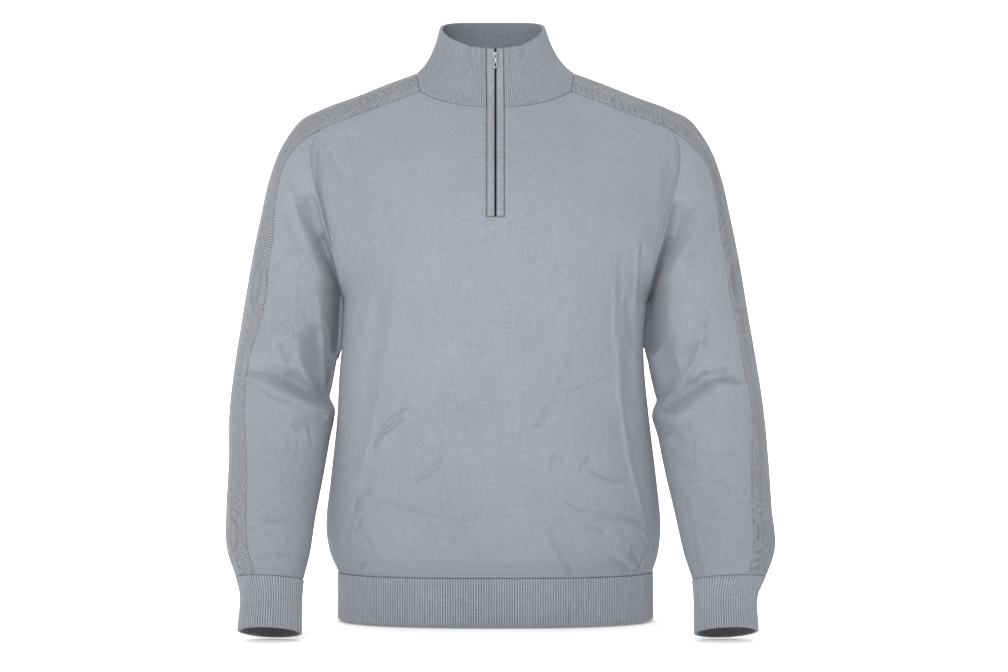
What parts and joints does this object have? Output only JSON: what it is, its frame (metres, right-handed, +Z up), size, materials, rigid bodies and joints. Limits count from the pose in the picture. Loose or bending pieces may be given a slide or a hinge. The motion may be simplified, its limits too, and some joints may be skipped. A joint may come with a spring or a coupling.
{
  "type": "quarter zip sweater",
  "caption": "Long-sleeved knit pullover standing out hollow, with ribbed stand collar, hem and cuffs, textured shoulder strips and a short zip with a swinging pull tab.",
  "frame": {"origin": "middle of the neck, level with the high points of the shoulders, where the wearer's shoulders carry it", "axes": "+Z up, -Y is the front, +X is the wearer's left"},
  "size_m": [0.6902, 0.247, 0.7888],
  "materials": {
    "knit": "fine garment-dyed knit, matte, softly mottled grey-blue",
    "strip_knit": "raised diagonal knit, matte grey-blue",
    "rib_knit": "narrow rib knit, matte grey-blue",
    "band_knit": "smooth knit band, matte grey-blue",
    "zip_tape": "woven zip tape, dark grey",
    "zip_metal": "silver-coloured zip metal, satin"
  },
  "bodies": {
    "garment": {"front": "knit", "back": "knit", "hem_rib_front": "rib_knit", "hem_rib_back": "rib_knit", "sleeve_left": "knit", "sleeve_right": "knit", "shoulder_strip_left": "strip_knit", "shoulder_strip_right": "strip_knit", "cuff_rib_left": "rib_knit", "cuff_rib_right": "rib_knit", "collar_rib": "rib_knit", "zip_band_left": "band_knit", "zip_band_right": "band_knit", "zip_tape_left": "zip_tape", "zip_tape_right": "zip_tape", "zip_chain": "zip_metal", "zip_slider": "zip_metal"},
    "pull_tab": {"zip_pull": "zip_metal"}
  },
  "joints": [
    {"name": "pull_tab_swing", "type": "hinge", "parent": "garment", "child": "pull_tab", "pos_m": [0, -0.06425, 0.02487], "axis": [-1, 0, 0], "range_deg": [0, 160]}
  ]
}
